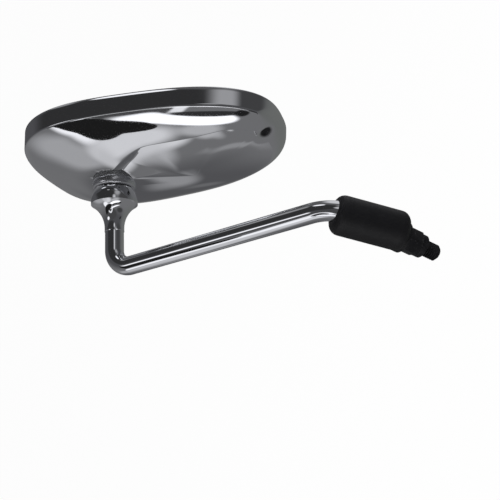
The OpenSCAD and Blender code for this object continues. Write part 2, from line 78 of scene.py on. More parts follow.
class Wire:
    """An output socket that takes part in Python arithmetic.

    Args:
        tree: node tree that owns the socket.
        socket: the output socket.
    """

    def __init__(self, tree: "Nodes", socket: bpy.types.NodeSocket) -> None:
        """Keeps the tree and the socket."""
        self.tree = tree
        self.socket = socket

    def _math(self, operation: str, *values: "Wire | float") -> "Wire":
        """Adds one Math node over the values."""
        return self.tree.add("ShaderNodeMath", {"operation": operation}, dict(enumerate(values)))

    def __add__(self, other: "Wire | float") -> "Wire":
        """Sum."""
        return self._math("ADD", self, other)

    __radd__ = __add__

    def __sub__(self, other: "Wire | float") -> "Wire":
        """Difference."""
        return self._math("SUBTRACT", self, other)

    def __rsub__(self, other: float) -> "Wire":
        """Difference from a number."""
        return self._math("SUBTRACT", other, self)

    def __mul__(self, other: "Wire | float") -> "Wire":
        """Product."""
        return self._math("MULTIPLY", self, other)

    __rmul__ = __mul__

    def __truediv__(self, other: "Wire | float") -> "Wire":
        """Quotient."""
        return self._math("DIVIDE", self, other)

    def __rtruediv__(self, other: float) -> "Wire":
        """Quotient of a number."""
        return self._math("DIVIDE", other, self)

    def root(self) -> "Wire":
        """Square root."""
        return self._math("SQRT", self)

    def top(self, other: "Wire | float") -> "Wire":
        """Larger of two values."""
        return self._math("MAXIMUM", self, other)

    def fade(self, low: float, high: float, start: float = 0.0, end: float = 1.0) -> "Wire":
        """Smooth change from start to end as the value goes from low to high.

        Args:
            low: value where the change begins.
            high: value where it ends.
            start: result at low.
            end: result at high.

        Returns:
            The mapped value, clamped.
        """
        ends = {"From Min": low, "From Max": high, "To Min": start, "To Max": end}
        return self.tree.add("ShaderNodeMapRange", {"interpolation_type": "SMOOTHSTEP", "clamp": True},
                             {"Value": self, **ends})


class Nodes:
    """Node tree of a material or of the world.

    Args:
        owner: material or world whose tree is filled.
    """

    def __init__(self, owner: "bpy.types.Material | bpy.types.World") -> None:
        """Empties the owner's tree."""
        owner.use_nodes = True
        self.tree = owner.node_tree
        self.tree.nodes.clear()

    def add(self, kind: str, settings: "dict | None" = None, inputs: "dict | None" = None,
            output: "int | str" = 0) -> Wire:
        """Adds a node.

        Args:
            kind: node type.
            settings: properties to set first.
            inputs: values or wires by socket name or number.
            output: name or number of the output that is returned.

        Returns:
            The chosen output as a Wire.
        """
        node = self.tree.nodes.new(kind)
        for key, value in (settings or {}).items():
            setattr(node, key, value)
        for key, value in (inputs or {}).items():
            socket = node.inputs[key]
            if isinstance(value, Wire):
                self.tree.links.new(value.socket, socket)
            else:
                socket.default_value = value
        return Wire(self, node.outputs[output])

    def mix(self, share: "Wire | float", low: "Wire | tuple", high: "Wire | tuple") -> Wire:
        """Blend of two colours.

        Args:
            share: share of the second colour.
            low: colour at share 0.
            high: colour at share 1.

        Returns:
            The blended colour.
        """
        first, second = (c if isinstance(c, Wire) else (*c, 1.0) for c in (low, high))
        return self.add("ShaderNodeMix", {"data_type": "RGBA"}, {0: share, 6: first, 7: second}, 2)

    def dot(self, vector: Wire, axis: tuple) -> Wire:
        """Part of a vector along a fixed direction."""
        return self.add("ShaderNodeVectorMath", {"operation": "DOT_PRODUCT"}, {0: vector, 1: axis}, "Value")

    def noise(self, scale: float, detail: float, stretch: tuple = (1.0, 1.0, 1.0)) -> Wire:
        """Noise over the object's own coordinates.

        Args:
            scale: waves per metre.
            detail: octaves.
            stretch: factor on each axis.

        Returns:
            The noise factor.
        """
        place = self.add("ShaderNodeTexCoord", output="Object")
        place = self.add("ShaderNodeMapping", {}, {"Vector": place, "Scale": stretch})
        return self.add("ShaderNodeTexNoise", {}, {
            "Vector": place, "Scale": scale, "Detail": detail, "Roughness": NOISE_ROUGH})

    def bump(self, height: Wire, depth: float, strength: float) -> Wire:
        """Normal from a height of 0 to 1 times depth in metres."""
        return self.add("ShaderNodeBump", {}, {
            "Height": height, "Distance": depth, "Strength": strength}, "Normal")

    def seen(self) -> Wire:
        """Is 1 for rays that look straight at a thing or through glass, and 0 for others."""
        camera = self.add("ShaderNodeLightPath", output="Is Camera Ray")
        return camera.top(self.add("ShaderNodeLightPath", output="Is Transmission Ray"))

    def finish(self, shader: Wire) -> None:
        """Links the shader to a new output."""
        of_world = isinstance(self.tree.id_data, bpy.types.World)
        out = self.tree.nodes.new("ShaderNodeOutputWorld" if of_world else "ShaderNodeOutputMaterial")
        self.tree.links.new(shader.socket, out.inputs["Surface"])


@dataclass(frozen=True)
class Finish:
    """Base of every finish: a name and the look of a plain surface."""

    name: str
    colour: tuple = (0.5, 0.5, 0.5)

    def material(self) -> bpy.types.Material:
        """Makes the material or returns the one already made.

        Returns:
            The material of this finish.
        """
        found = bpy.data.materials.get(self.name)
        if found is None:
            found = bpy.data.materials.new(self.name)
            self.fill(Nodes(found))
        return found

    def fill(self, nodes: Nodes) -> None:
        """Fills the tree; each finish has its own."""
        raise NotImplementedError


@dataclass(frozen=True)
class Chrome(Finish):
    """Polished chrome plate with faint wiping marks and specks of dust.

    Attributes:
        pit: middle of the dimple in metres, where shade is painted into the colour, or None.
        pit_r: radius of the pit in metres.
    """

    rough: float = 0.035
    wipe: float = 0.05
    pit: "tuple | None" = None
    pit_r: float = 0.0052
    # Colour of the shade painted into the dimple.
    pit_painted_shade: tuple = (0.02, 0.02, 0.022)
    dust_tone: tuple = (0.55, 0.55, 0.57)
    peel_depth: float = 0.00003

    def fill(self, nodes: Nodes) -> None:
        """Mirror finish whose roughness and tone drift a little, with painted shade and more roughness in the
        dimple.
        """
        cloud = nodes.noise(28.0, 4.0)
        streak = nodes.noise(160.0, 3.0, (1.0, 0.18, 0.6))
        speck = nodes.noise(2400.0, 1.0).fade(0.70, 0.78)
        haze = cloud.fade(0.45, 0.75) * streak.fade(0.4, 0.8)
        dull = tuple(c * 0.93 for c in self.colour)
        tone = nodes.mix(haze * 0.6, self.colour, dull)
        tone = nodes.mix(speck * 0.25, tone, self.dust_tone)
        rough = self.rough + haze * self.wipe + speck * 0.04
        # Painted shade: the colour darkens towards the dimple's middle, standing in for the shade in the
        # recess.
        if self.pit:
            place = nodes.add("ShaderNodeTexCoord", output="Object")
            away = nodes.add("ShaderNodeVectorMath", {"operation": "DISTANCE"}, {0: place, 1: self.pit},
                             "Value")
            pit_shade = away.fade(self.pit_r * 0.55, self.pit_r, 1.0, 0.0)
            tone = nodes.mix(pit_shade * 0.96, tone, self.pit_painted_shade)
            rough = rough + pit_shade * 0.25
        peel = nodes.bump(nodes.noise(85.0, 2.0), self.peel_depth, 0.2)
        nodes.finish(nodes.add("ShaderNodeBsdfPrincipled", {}, {
            "Base Color": tone, "Metallic": 1.0, "Roughness": rough, "Normal": peel}))


@dataclass(frozen=True)
class SatinMetal(Finish):
    """Turned or cast metal with a fine grain."""

    rough: float = 0.32
    grain: float = 900.0

    def fill(self, nodes: Nodes) -> None:
        """Grainy metal, darker where it is stained."""
        grain = nodes.noise(self.grain, 4.0, (1.0, 1.0, 0.25))
        stain = nodes.noise(60.0, 3.0).fade(0.4, 0.75)
        dark = tuple(c * 0.72 for c in self.colour)
        tone = nodes.mix(stain * 0.5, self.colour, dark)
        nodes.finish(nodes.add("ShaderNodeBsdfPrincipled", {}, {
            "Base Color": tone, "Metallic": 1.0, "Roughness": self.rough + grain * 0.12 + stain * 0.08,
            "Normal": nodes.bump(grain, 0.00004, 0.5)}))


@dataclass(frozen=True)
class BlackPlate(Finish):
    """Black plated steel, brighter where edges have worn."""

    def fill(self, nodes: Nodes) -> None:
        """Dark metal with worn specks and a dry film of dirt."""
        worn = nodes.noise(700.0, 5.0).fade(0.6, 0.78)
        film = nodes.noise(120.0, 4.0).fade(0.35, 0.8)
        tone = nodes.mix(film * 0.4, self.colour, (0.035, 0.034, 0.036))
        tone = nodes.mix(worn * 0.5, tone, (0.16, 0.16, 0.17))
        nodes.finish(nodes.add("ShaderNodeBsdfPrincipled", {}, {
            "Base Color": tone, "Metallic": 0.65, "Roughness": 0.34 + film * 0.2,
            "Normal": nodes.bump(nodes.noise(1500.0, 2.0), 0.00003, 0.5)}))


@dataclass(frozen=True)
class Moulded(Finish):
    """Moulded rubber, plastic or foam with a fine skin."""

    rough: float = 0.6
    grain: float = 1600.0
    depth: float = 0.00006
    dust: float = 0.25

    def fill(self, nodes: Nodes) -> None:
        """Matte skin with fine pits and a little pale dust."""
        pits = nodes.noise(self.grain, 4.0)
        cloud = nodes.noise(45.0, 4.0).fade(0.42, 0.78)
        pale = tuple(min(1.0, c * 1.5 + 0.012) for c in self.colour)
        tone = nodes.mix(cloud * self.dust, self.colour, pale)
        nodes.finish(nodes.add("ShaderNodeBsdfPrincipled", {}, {
            "Base Color": tone, "Roughness": self.rough + pits * 0.1 - cloud * 0.05,
            "Normal": nodes.bump(pits, self.depth, 0.6)}))


@dataclass(frozen=True)
class Silvered(Finish):
    """Convex mirror glass, silvered behind."""

    def fill(self, nodes: Nodes) -> None:
        """Clean mirror with the faintest drift and a few specks."""
        speck = nodes.noise(1800.0, 1.0).fade(0.74, 0.8)
        film = nodes.noise(22.0, 3.0).fade(0.4, 0.8)
        tone = nodes.mix(film * 0.4, self.colour, tuple(c * 0.95 for c in self.colour))
        nodes.finish(nodes.add("ShaderNodeBsdfPrincipled", {}, {
            "Base Color": tone, "Metallic": 1.0, "Roughness": 0.012 + film * 0.02 + speck * 0.2}))


SHELL_CHROME = Chrome("shell_chrome_finish", (0.86, 0.87, 0.89), rough=0.045, wipe=0.06)
STEM_CHROME = Chrome("stem_chrome_finish", (0.88, 0.89, 0.91), rough=0.03, wipe=0.04)
RING_SATIN = Chrome("ring_satin_finish", (0.82, 0.83, 0.86), rough=0.24, wipe=0.06)
CAST_ALLOY = SatinMetal("cast_alloy_finish", (0.5, 0.51, 0.52), rough=0.42, grain=500.0)
ZINC_STEEL = SatinMetal("zinc_steel_finish", (0.6, 0.61, 0.6), rough=0.3)
BLACK_STEEL = BlackPlate("black_plate_finish", (0.012, 0.012, 0.014))
BOOT_RUBBER = Moulded("boot_rubber_finish", (0.0028, 0.0028, 0.0036), rough=0.46, grain=1300.0, depth=0.00008,
                      dust=0.12)
GASKET_RUBBER = Moulded("gasket_rubber_finish", (0.012, 0.012, 0.012), rough=0.55)
BACK_PLASTIC = Moulded("backing_plastic_finish", (0.03, 0.03, 0.032), rough=0.5)
NYLON = Moulded("nylon_finish", (0.72, 0.7, 0.62), rough=0.45, dust=0.1)
FOAM = Moulded("foam_finish", (0.05, 0.05, 0.052), rough=0.85, grain=2600.0, depth=0.0002)
MIRROR = Silvered("mirror_glass_finish", (0.80, 0.84, 0.86))


# Places and mesh helpers


def turn(axis: str, degrees: float) -> Matrix:
    """Rotation about a named axis."""
    return Matrix.Rotation(math.radians(degrees), 4, axis)


def shift(x: float, y: float, z: float) -> Matrix:
    """Translation in millimetres."""
    return Matrix.Translation((x, y, z))


@dataclass
class Places:
    """Frames along the stem, in millimetres, as the part's source sets them."""

    stem_corner: float = 61.0
    arm_rise: float = 30.1
    arm_len: float = 154.7
    top_turn: float = 94.5
    top_roll: float = 23.1
    knuckle_dist: float = 44.9
    head_turn: float = -68.7
    head_lean: float = 9.0
    lean_dir: float = 9.4
    knuckle_u: float = 26.7
    knuckle_v: float = 5.7
    knuckle_w: float = 46.7

    def arm(self) -> Matrix:
        """Frame at the lower corner, X along the arm."""
        return shift(0, 0, self.stem_corner) @ turn("Y", -self.arm_rise)

    def corner(self) -> Matrix:
        """Frame at the outer corner."""
        return self.arm() @ shift(self.arm_len, 0, 0) @ turn("X", -self.top_roll)

    def knuckle(self) -> Matrix:
        """Frame at the knob's centre, Z towards the head."""
        return self.corner() @ turn("Z", -self.top_turn) @ shift(self.knuckle_dist, 0, 0) @ turn("Y", 90)

    def head(self) -> Matrix:
        """Frame of the head, Z out of its back."""
        return (self.knuckle() @ turn("Z", self.head_turn) @ turn("X", 180 - self.head_lean)
                @ turn("Z", self.lean_dir) @ shift(self.knuckle_u, -self.knuckle_v, -self.knuckle_w))


PLACES = Places()
HERE = Matrix.Identity(4)


def put(bm: bmesh.types.BMesh, name: str) -> bpy.types.Object:
    """Puts a mesh into the scene.

    Args:
        bm: the mesh in metres, which is freed.
        name: name of the object.

    Returns:
        The new object.
    """
    mesh = bpy.data.meshes.new(name)
    bm.to_mesh(mesh)
    bm.free()
    made = bpy.data.objects.new(name, mesh)
    bpy.context.scene.collection.objects.link(made)
    return made


def publish(bm: bmesh.types.BMesh, name: str, place: Matrix, finish: Finish, part: Part, *nodes: str,
            sharp: float = 35.0, slot: "str | None" = None) -> bpy.types.Object:
    """Turns a finished bmesh into a piece that rides on its body.

    Args:
        bm: the mesh in millimetres, in the frame of place.
        name: piece name.
        place: frame of the piece, in millimetres.
        finish: its finish.
        part: body that carries it.
        nodes: nodes that the piece stands for.
        sharp: angle in degrees above which an edge stays sharp.
        slot: not used.

    Returns:
        The new object.
    """
    bmesh.ops.remove_doubles(bm, verts=bm.verts, dist=WELD)
    bmesh.ops.dissolve_degenerate(bm, edges=bm.edges, dist=SLIVER)
    bmesh.ops.recalc_face_normals(bm, faces=bm.faces)
    bmesh.ops.transform(bm, matrix=Matrix.Scale(MM, 4) @ place, verts=bm.verts)
    piece = put(bm, name)
    mesh = piece.data
    mesh.shade_smooth()
    mesh.set_sharp_from_angle(angle=math.radians(sharp))
    mesh.materials.append(finish.material())
    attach(piece, part.value)
    if nodes:
        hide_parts(*nodes)
    LOG.info("%s: %d faces", name, len(mesh.polygons))
    return piece


def lathe(profile: list, steps: int = 96) -> bmesh.types.BMesh:
    """Spins an outline of (radius, height) points about Z.

    Args:
        profile: points from one pole to the other.
        steps: steps of the full turn.

    Returns:
        The spun mesh.
    """
    bm = bmesh.new()
    line = [bm.verts.new((r, 0.0, z)) for r, z in profile]
    edges = [bm.edges.new(pair) for pair in zip(line, line[1:])]
    bmesh.ops.spin(bm, geom=line + edges, cent=(0, 0, 0), axis=(0, 0, 1), dvec=(0, 0, 0), angle=math.tau,
                   steps=steps, use_merge=True, use_duplicate=False)
    return bm


def cap(r: float, steps: int) -> list:
    """Outline of a dome: points of a quarter circle from the side up to the pole.

    Args:
        r: radius.
        steps: steps of the quarter.

    Returns:
        The (radius, height) points.
    """
    angles = [math.radians(90 * i / steps) for i in range(steps)]
    return [(r * math.cos(b), r * math.sin(b)) for b in angles] + [(0, r)]


def gridded(rays: int, rows: list) -> bmesh.types.BMesh:
    """Lays a created grid over rings of points.

    Args:
        rays: number of points round each ring.
        rows: one array of rays x 3 points for each ring, in order.

    Returns:
        The mesh, whose seam, poles and doubled rings publish still has to merge.
    """
    bm = bmesh.new()
    bmesh.ops.create_grid(bm, x_segments=rays, y_segments=len(rows) - 1, size=0.5)
    for v in bm.verts:
        i = int(round((v.co.x + 0.5) * rays)) % rays
        k = int(round((v.co.y + 0.5) * (len(rows) - 1)))
        v.co = rows[k][i]
    return bm


# Stem


@dataclass
class Stem:
    """Bent rod with its thread end, and the adaptor with its stud."""

    stem_r: float = 6.0
    end_taper: float = 0.6
    end_len: float = 3.0
    stud_r: float = 5.0
    low_bend: float = 28.0
    top_bend: float = 11.6
    nut_top: float = 31.6
    rod_end: float = 8.9
    hex_af: float = 14.0
    shoulder_h: float = 4.5
    hex_top: float = 24.0
    stud_len: float = 10.5
    pitch: float = 1.5
    thread_depth: float = 0.85
    thread_turns: int = 6
    thread_share: float = 0.93
    turn_steps: int = 48
    sides: int = 144
    low_steps: int = 30
    top_steps: int = 44
    hex_round: float = 0.5
    rim_round: float = 0.35
    rim_angle: float = 1.2

    def rod(self) -> None:
        """Builds the rod: straights by extrusion, bends by spin."""
        low_turn = math.radians(90 - PLACES.arm_rise)
        top_turn = math.radians(PLACES.top_turn)
        low_run = self.low_bend * math.tan(low_turn / 2)
        top_run = self.top_bend * math.tan(top_turn / 2)
        arm, corner, knuckle = PLACES.arm().to_3x3(), PLACES.corner(), PLACES.knuckle()
        bm = bmesh.new()
        narrow = self.stem_r - self.end_taper
        foot = shift(0, 0, self.nut_top - self.end_len)
        bmesh.ops.create_circle(bm, segments=self.sides, radius=narrow, matrix=foot)
        ring = list(bm.edges)
        bmesh.ops.edgeloop_fill(bm, edges=ring)
        ring = self._extrude(bm, ring, Vector((0, 0, self.end_len)))
        verts = {v for e in ring for v in e.verts}
        bmesh.ops.scale(bm, vec=(self.stem_r / narrow, self.stem_r / narrow, 1), verts=list(verts))
        low_end = PLACES.stem_corner - low_run
        ring = self._extrude(bm, ring, Vector((0, 0, low_end - self.nut_top)))
        centre = Vector((self.low_bend, 0, low_end))
        ring = self._bend(bm, ring, centre, Vector((0, 1, 0)), low_turn, self.low_steps)
        ring = self._extrude(bm, ring, arm @ Vector((PLACES.arm_len - low_run - top_run, 0, 0)))
        centre = corner @ Vector((-top_run, -self.top_bend, 0))
        ring = self._bend(bm, ring, centre, corner.to_3x3() @ Vector((0, 0, -1)), top_turn, self.top_steps)
        last = PLACES.knuckle_dist - top_run - self.rod_end
        ring = self._extrude(bm, ring, knuckle.to_3x3() @ Vector((0, 0, last)))
        bmesh.ops.edgeloop_fill(bm, edges=ring)
        rod = publish(bm, "bent_rod", HERE, STEM_CHROME, Part.STEM, "stem_rod",
                      slot="stem_chrome")
        rod.visible_glossy = False
        low, high = self.hex_top + 0.05, self.nut_top - 0.2
        end = lathe([(0, low), (self.stud_r, low), (self.stud_r, high), (0, high)], 64)
        publish(end, "rod_thread_end", HERE, ZINC_STEEL, Part.STEM, slot="plain_steel")

    @staticmethod
    def _extrude(bm: bmesh.types.BMesh, ring: list, by: Vector) -> list:
        """Extrudes a ring of edges along a vector and returns the new ring."""
        made = bmesh.ops.extrude_edge_only(bm, edges=ring)["geom"]
        verts = [g for g in made if isinstance(g, bmesh.types.BMVert)]
        bmesh.ops.translate(bm, vec=by, verts=verts)
        own = set(verts)
        return [g for g in made if isinstance(g, bmesh.types.BMEdge) and all(v in own for v in g.verts)]

    @staticmethod
    def _bend(bm: bmesh.types.BMesh, ring: list, centre: Vector, axis: Vector, angle: float,
              steps: int) -> list:
        """Spins a ring of edges about a bend's axis and returns the last ring."""
        made = bmesh.ops.spin(bm, geom=ring, cent=centre, axis=axis, dvec=(0, 0, 0), angle=angle, steps=steps,
                              use_merge=False, use_duplicate=False)["geom_last"]
        return [g for g in made if isinstance(g, bmesh.types.BMEdge)]

    def adaptor(self) -> None:
        """Builds the adaptor: threaded stud, round shoulder and hexagon."""
        root, half = self.stud_r - self.thread_depth, self.hex_af / 2
        core = lathe([(0, -self.stud_len), (root - 0.6, -self.stud_len), (root, 0.6 - self.stud_len),
                      (root, -0.8), (root - 0.25, -0.4), (root - 0.25, 0.0), (half - 0.6, 0.0), (half, 0.6),
                      (half, self.shoulder_h - 0.3), (half - 0.3, self.shoulder_h), (0, self.shoulder_h)])
        publish(core, "adaptor_stud", HERE, BLACK_STEEL, Part.BASE, slot="black_steel")
        bm = bmesh.new()
        h = self.hex_top - self.shoulder_h
        bmesh.ops.create_cone(bm, cap_ends=True, segments=6, radius1=self.hex_af / math.sqrt(3),
                              radius2=self.hex_af / math.sqrt(3), depth=h,
                              matrix=shift(0, 0, self.shoulder_h + h / 2))
        upright = [e for e in bm.edges if abs((e.verts[0].co - e.verts[1].co).z) > 1]
        bmesh.ops.bevel(bm, geom=upright, offset=self.hex_round, segments=3, profile=0.5, affect="EDGES",
                        material=-1)
        rims = [e for e in bm.edges if len(e.link_faces) == 2 and e.calc_face_angle(0) > self.rim_angle]
        bmesh.ops.bevel(bm, geom=rims, offset=self.rim_round, segments=2, profile=0.5, affect="EDGES",
                        material=-1)
        publish(bm, "adaptor_hexagon", HERE, BLACK_STEEL, Part.BASE, "threaded_adaptor",
                slot="black_steel")
        self._thread(root)

    def _thread(self, root: float) -> None:
        """Winds the stud's thread: one tooth outline spun with a rise at each step."""
        bm = bmesh.new()
        low = -self.stud_len + 1.0
        foot, tip = root - 0.1, self.stud_r - 0.08
        outline = [(foot, -0.62), (tip, -0.1), (tip, 0.1), (foot, 0.62)]
        verts = [bm.verts.new((r, 0, low + z)) for r, z in outline]
        edges = [bm.edges.new(pair) for pair in zip(verts, verts[1:] + verts[:1])]
        bmesh.ops.spin(bm, geom=verts + edges, cent=(0, 0, 0), axis=(0, 0, 1),
                       dvec=(0, 0, self.pitch / self.turn_steps),
                       angle=math.tau * self.thread_turns * self.thread_share,
                       steps=int(self.thread_turns * self.turn_steps * self.thread_share),
                       use_merge=False, use_duplicate=False)
        bmesh.ops.holes_fill(bm, edges=[e for e in bm.edges if e.is_boundary], sides=4)
        publish(bm, "stud_thread", HERE, BLACK_STEEL, Part.BASE, slot="black_steel")


# Knuckle


@dataclass
class Knuckle:
    """Bell with its knob, and the satin ring above it."""

    knob_r: float = 15.0
    bell_len: float = 19.9
    flare_len: float = 15.9
    stem_r: float = 6.0
    ring_r: float = 13.9
    ring_low: float = 9.1
    ring_h: float = 4.4
    ball_gap: float = 0.3
    ring_groove: float = 1.1
    groove_h: float = 0.5
    collar_top: float = 14.9
    collar_in: float = 13.25
    sides: int = 128
    arc_steps: int = 36

    def bell(self) -> None:
        """Builds the bell: a lip, a concave flare and the spherical knob."""
        rise = self.knob_r - self.stem_r - 0.25
        flare_r = (self.flare_len ** 2 + rise ** 2) / (2 * rise)
        low = self.flare_len + 1.5
        profile = [(0, -self.bell_len), (self.stem_r + 0.1, -self.bell_len),
                   (self.stem_r + 0.35, 0.3 - self.bell_len), (self.stem_r + 0.25, 1 - self.bell_len)]
        for i in range(self.arc_steps + 1):
            z = self.flare_len * i / self.arc_steps
            profile.append((self.stem_r + 0.25 + flare_r - math.sqrt(flare_r ** 2 - z * z), z - low))
        profile += cap(self.knob_r, self.arc_steps)
        bell = publish(lathe(profile, self.sides), "bell_and_knob", PLACES.knuckle(), STEM_CHROME, Part.STEM,
                       "ball_collar", slot="stem_chrome", sharp=25)
        bell.visible_glossy = False

    def ring(self) -> None:
        """Builds the satin ring: groove, bead and collar outside, a spherical seat inside."""
        seat = self.knob_r + self.ball_gap
        top = self.ring_low + self.ring_h
        inner_low = math.sqrt(seat ** 2 - self.ring_low ** 2)
        inner_top = math.sqrt(seat ** 2 - top ** 2)
        bead = (self.collar_top - self.ring_low - self.groove_h) / 2
        middle = self.ring_low + self.groove_h + bead
        groove = self.ring_r - self.ring_groove
        profile = [(inner_low, self.ring_low), (groove, self.ring_low), (groove, middle - bead)]
        profile += [(groove + 0.05 + (self.ring_groove - 0.05) * math.cos(b), middle + bead * math.sin(b))
                    for b in (math.radians(-85 + 17 * i) for i in range(10))]
        profile += [(self.collar_in, self.collar_top), (self.collar_in, top), (inner_top, top)]
        for i in range(1, 12):
            z = top - self.ring_h * i / 12
            profile.append((math.sqrt(seat ** 2 - z * z), z))
        bm = lathe(profile + profile[:1], self.sides)
        ring = publish(bm, "satin_seat_ring", PLACES.knuckle(), RING_SATIN, Part.HEAD, "seat_ring",
                       slot="satin_alloy")
        ring.visible_glossy = False


# Head


def ease(low: float, high: float, x: "np.ndarray | float") -> "np.ndarray | float":
    """Smooth step from 0 at low to 1 at high."""
    s = np.clip((x - low) / (high - low), 0.0, 1.0)
    return s * s * (3.0 - 2.0 * s)


def mix(a: "np.ndarray | float", b: "np.ndarray | float", s: "np.ndarray | float") -> "np.ndarray | float":
    """Straight blend from a to b."""
    return a + (b - a) * s


@dataclass
class Skin:
    """Form of the shell in the head's frame, for a grid of any fineness.

    It follows the solid's formula, but the dimple, the seat of the ring, the rounding of the crest and
    the way the hollow runs out are this script's own. x and y are shares of the oval, u and v places on it.
    """

    half_len: float = 85.7
    half_high: float = 55.7
    oval: float = 2.75
    taper: float = 0.141
    wall_h: float = 13.2
    dome_h: float = 18.0
    dome_full: float = 2.64
    draft: float = 0.4
    blade_drop: float = 3.6
    blade_slope: float = 6.5
    dimple_depth: float = 2.6
    crest_round: float = 0.09
    end_power: float = 9.0
    edge_sharp: float = 1.0
    edge_soft: float = 9.0
    edge_share: float = 0.9
    ring_top: float = 13.5
    ring_r: float = 13.9
    ring_lift: float = 0.7
    ped_reach: float = 42.0
    ped_lift: float = 2.2
    end_fade: float = 8.0
    centre: tuple = (0.3, -0.1)
    dimple_at: tuple = (76.5, 8.5)
    dimple_r: float = 4.2
    blade: tuple = ((-60, -50), (-44, -14), (-35, 8), (-27, 17), (-13, 27.4), (0, 32.6), (12, 33.3),
                    (37, 31.1), (54.5, 28.5), (64, 24.2), (74, 16.3), (85, 13))

    def narrow(self, x: np.ndarray) -> np.ndarray:
        """Share of the height left at x by the taper."""
        return 1.0 - self.taper * x

    def flat(self, x: np.ndarray, y: np.ndarray, t: float = 0.0) -> tuple:
        """Position of shares x and y of the oval, inset by t."""
        return (self.half_len - t) * x, (self.half_high - t) * y * self.narrow(x)

    def rim(self, a: np.ndarray) -> tuple:
        """Shares of the rim at angle a."""
        c, s = np.cos(a), np.sin(a)
        return np.sign(c) * np.abs(c) ** (2 / self.oval), np.sign(s) * np.abs(s) ** (2 / self.oval)

    def dome(self, x: np.ndarray, y: np.ndarray) -> np.ndarray:
        """Height of the plain dome."""
        share = (np.abs(x) ** self.oval + np.abs(y) ** self.oval) ** (1 / self.oval)
        return self.wall_h + self.dome_h * (1 - np.minimum(1, share) ** self.dome_full)

    def crest_at(self, u: np.ndarray) -> np.ndarray:
        """Smooth line of the blade's crest: v for a given u."""
        b = np.array(self.blade, float)
        n = len(b)
        slope = np.array([(b[min(i + 1, n - 1), 1] - b[max(i - 1, 0), 1])
                          / (b[min(i + 1, n - 1), 0] - b[max(i - 1, 0), 0]) for i in range(n)])
        i = np.clip(np.searchsorted(b[:, 0], u, side="left") - 1, 0, n - 2)
        h = b[i + 1, 0] - b[i, 0]
        s = (u - b[i, 0]) / h
        return ((1 + 2 * s) * (1 - s) ** 2 * b[i, 1] + s * (1 - s) ** 2 * h * slope[i]
                + s * s * (3 - 2 * s) * b[i + 1, 1] + s * s * (s - 1) * h * slope[i + 1])

    def ray(self, a: np.ndarray, q: "np.ndarray | float") -> tuple:
        """Shares at part q of the ray from the grid's centre to the rim."""
        x, y = self.rim(a)
        return self.centre[0] + q * (x - self.centre[0]), self.centre[1] + q * (y - self.centre[1])

    def ray_len(self, a: np.ndarray) -> np.ndarray:
        """Length of a ray."""
        ex, ey = self.flat(*self.ray(a, 1.0))
        cx, cy = self.flat(*self.centre)
        return np.hypot(ex - cx, ey - cy)

    def above(self, a: np.ndarray, q: "np.ndarray | float") -> np.ndarray:
        """Distance of a point of a ray above the crest."""
        fx, fy = self.flat(*self.ray(a, q))
        return fy - self.crest_at(fx)

    def edge_r(self, a: np.ndarray) -> np.ndarray:
        """Radius of the edge between wall and dome."""
        x, y = self.rim(a)
        return mix(self.edge_soft, self.edge_sharp, ease(-0.35, 0.15, y) * (1 - ease(0.9, 0.99, x)))

    def edge_q(self, a: np.ndarray) -> np.ndarray:
        """Part of a ray at which the dome's edge begins."""
        return 1 - self.edge_r(a) / self.ray_len(a)

    def crest_q(self, a: np.ndarray) -> np.ndarray:
        """Part of a ray at which it crosses the crest."""
        low, high = np.zeros_like(a), np.ones_like(a)
        for _ in range(24):
            m = (low + high) / 2
            up = self.above(a, m) > 0
            high = np.where(up, m, high)
            low = np.where(up, low, m)
        return np.minimum(self.edge_q(a) - 0.05, np.maximum(0.3, (low + high) / 2))

    def drop(self, u: np.ndarray) -> np.ndarray:
        """Fall below the blade along the crest."""
        return self.blade_drop * ease(-31, -14, u) * (1 - 0.6 * ease(0, 50, u)) * (1 - ease(72, 82, u))

    def foot_q(self, a: np.ndarray) -> np.ndarray:
        """Part of a ray at which the slope below the blade ends."""
        c = self.crest_q(a)
        u = self.flat(*self.ray(a, c))[0]
        return c - mix(self.blade_slope, 1.6, ease(-14, 8, u)) / self.ray_len(a)

    def hollow(self, a: np.ndarray, q: np.ndarray) -> np.ndarray:
        """Depth of the hollow below the blade."""
        c, g = self.crest_q(a), self.foot_q(a)
        d = self.drop(self.flat(*self.ray(a, c))[0])
        s = np.clip((c - q) / (c - g), 0, 1)
        slope = (np.sqrt(s * s + self.crest_round ** 2) - self.crest_round) / (
            math.sqrt(1 + self.crest_round ** 2) - self.crest_round)
        power = np.where(np.cos(a) > 0, mix(self.end_power, 2.0, ease(0.2, 0.95, a)), 2.0)
        return d * ease(0.0, self.end_fade, self.above(a, 1.0)) * np.where(q <= g, (q / g) ** power, slope)

    def socket_top(self) -> tuple:
        """Middle of the ring's upper face."""
        le, di = math.radians(PLACES.head_lean), math.radians(PLACES.lean_dir)
        d = self.ring_top
        return (d * math.sin(le) * math.sin(di) - PLACES.knuckle_u,
                d * math.sin(le) * math.cos(di) + PLACES.knuckle_v,
                PLACES.knuckle_w - d * math.cos(le))

    def pedestal(self, fx: np.ndarray, fy: np.ndarray) -> np.ndarray:
        """Lift of the skin towards the seat ring."""
        sx, sy, sz = self.socket_top()
        di = math.radians(PLACES.lean_dir)
        slant = math.tan(math.radians(PLACES.head_lean))
        plane = sz + ((fx - sx) * math.sin(di) + (fy - sy) * math.cos(di)) * slant
        fade = 1 - ease(self.ring_r, self.ped_reach, np.hypot(fx - sx, fy - sy))
        plain = self.dome(fx / self.half_len, fy / self.half_high / self.narrow(fx / self.half_len))
        return np.clip(plane - self.ring_lift - plain, 0, self.ped_lift) * fade

    def skin(self, a: np.ndarray, q: np.ndarray, t: float = 0.0) -> np.ndarray:
        """Point of the outer or inner skin on the ray at angle a."""
        px, py = self.ray(a, q)
        k = 1 - self.draft / self.half_high
        fx, fy = self.flat(px * k, py * k, t)
        extra = self.pedestal(fx, fy) - self.hollow(a, np.minimum(q, self.crest_q(a)))
        inside = ease(0.004, 0.03, self.edge_q(a) - q)
        return np.stack([fx, fy, self.dome(px, py) - t + inside * extra], -1)

